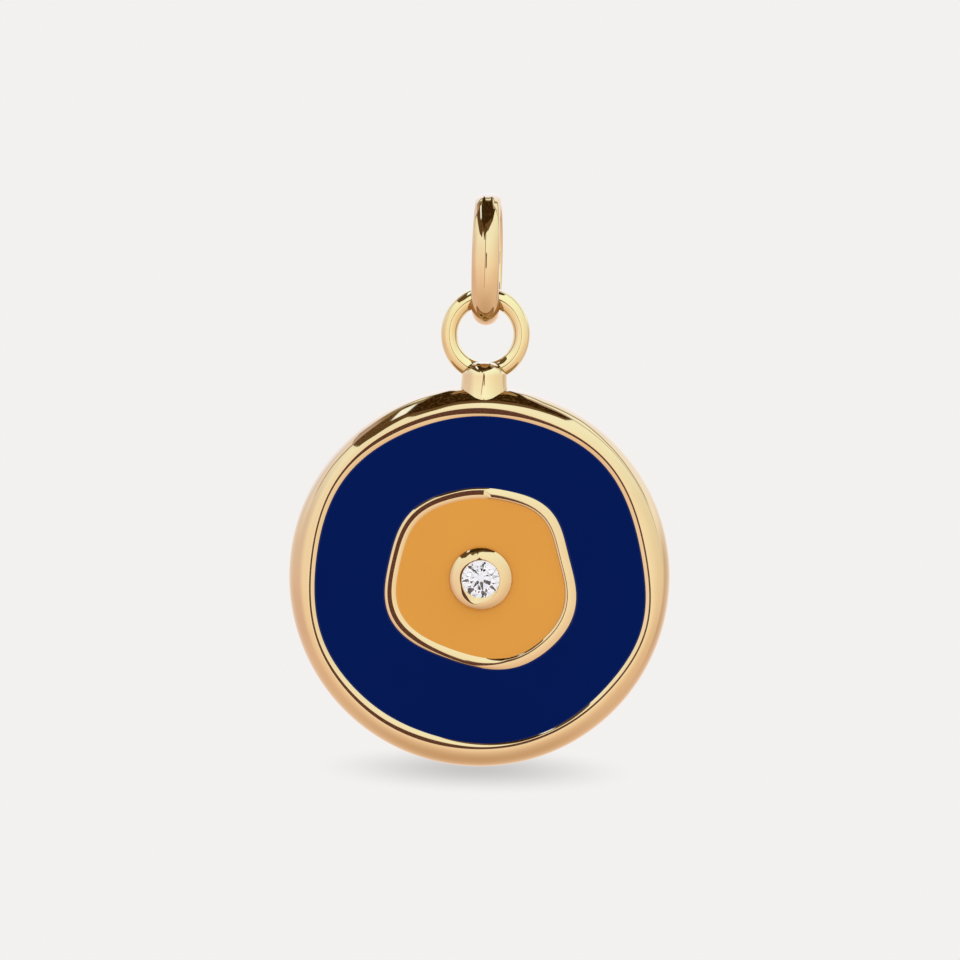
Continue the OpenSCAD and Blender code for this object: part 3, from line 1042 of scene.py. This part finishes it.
def gold_plate(name, shades, wave_scale, wave_height, line=None):
    """Polished plate. A line, if given, is a painted reflection of the lens slit, in solder brown,
    with its own place and size.
    """
    made, sums, shader = new_material(name)
    tone = use(sums, DRIFT, Shade_A=shades[0], Shade_B=shades[1], Scale=350)["Color"]
    if line:
        # The line is the painted reflection of the lens slit
        tone = sums.mix(use(sums, SLIT_LINE, **line)["Mask"], tone, SLIT_REFLECTION)
    sums.put(shader["Base Color"], tone)
    shader["Metallic"].default_value = 1
    scratches = use(sums, HAIRLINES, Scale=2600.0, Amount=0.5)["Mask"]
    sums.put(shader["Roughness"], sums.math("MULTIPLY_ADD", scratches, 0.05, 0.045))
    waves = use(sums, WAVES, Scale=wave_scale, Height=wave_height)["Height"]
    bump(sums, waves, shader["Normal"])
    return made


disc.data.materials.append(gold_plate("gold_disc", PALE, 500.0, 1.0e-6))
bezel.data.materials.append(gold_plate("gold_bezel", PALE, 700.0, 0.8e-6))
wire_ring.data.materials.append(gold_plate("gold_ring", RICH, 500.0, 1.2e-6))
post.data.materials.append(gold_plate("gold_post", BRIGHT_YELLOW, 650.0, 8e-7, POST_SLIT_LINE))
bail.data.materials.append(gold_plate("gold_bail", PALE, 500.0, 8e-7, BAIL_SLIT_LINE))
print("gold on", [piece.name for piece in (disc, bezel, wire_ring, post, bail)])

# %% [markdown]
# ## Enamel finish
# Cold enamel is a thick lacquer full of pigment, cured and polished flat. Its colour is even
# and its gloss is soft and clear, so the shader is a plain glossy one with a low specular
# level: the blue stays deep, and no bright room lies over it. The hairlines and the slow
# waves are the same as on the gold, only fainter.


# %% Enamel finish
def enamel(name, shade_a, shade_b):
    made, sums, shader = new_material(name)
    tone = use(sums, DRIFT, Shade_A=shade_a, Shade_B=shade_b, Scale=260)
    sums.put(shader["Base Color"], tone["Color"])
    scratches = use(sums, HAIRLINES, Scale=1700.0, Amount=0.3)["Mask"]
    sums.put(shader["Roughness"], sums.math("MULTIPLY_ADD", scratches, 0.06, 0.03))
    shader["IOR"].default_value = 1.5
    shader["Specular IOR Level"].default_value = 0.2
    waves = use(sums, WAVES, Scale=420.0, Height=4e-7)["Height"]
    bump(sums, waves, shader["Normal"])
    return made


blue.data.materials.append(enamel("blue_enamel", (0.0, 0.0100, 0.096), (0.0, 0.0105, 0.100)))
amber.data.materials.append(
    enamel("amber_enamel", (0.795, 0.353, 0.0645), (0.815, 0.363, 0.0665)))
print("enamel on", blue.name, "and", amber.name)

# %% [markdown]
# ## Stone finish
# A cut stone is perfectly smooth and clear, and all its life comes from its facets and from
# how strongly it bends light. So it has a constant colour, no roughness, and the refractive
# index of a diamond.


# %% Stone finish
def clear_stone():
    made, _, shader = new_material("clear_stone")
    shader["Base Color"].default_value = (0.98, 0.99, 1, 1)
    shader["Roughness"].default_value = 0
    shader["IOR"].default_value = 2.42
    shader["Transmission Weight"].default_value = 1
    return made


stone.data.materials.append(clear_stone())
print("materials", [made.name for made in bpy.data.materials])

# %% [markdown]
# ## What moves with what
# The bail is held by its chain, and everything else swings in it. Each piece stands for the
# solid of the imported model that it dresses.

# %% Bodies
for piece, body, node, slot in (
        (bail, "bail", "bail", "gold"), (disc, "pendant", "setting", "gold"),
        (bezel, "pendant", "setting", "gold"), (post, "pendant", "setting", "gold"),
        (wire_ring, "pendant", "setting", "gold"), (blue, "pendant", "blue_enamel", "blue"),
        (amber, "pendant", "amber_enamel", "amber"), (stone, "pendant", "stone", "stone")):
    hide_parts(node)
    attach(piece, body)
    print(piece.name, "rides on", body)
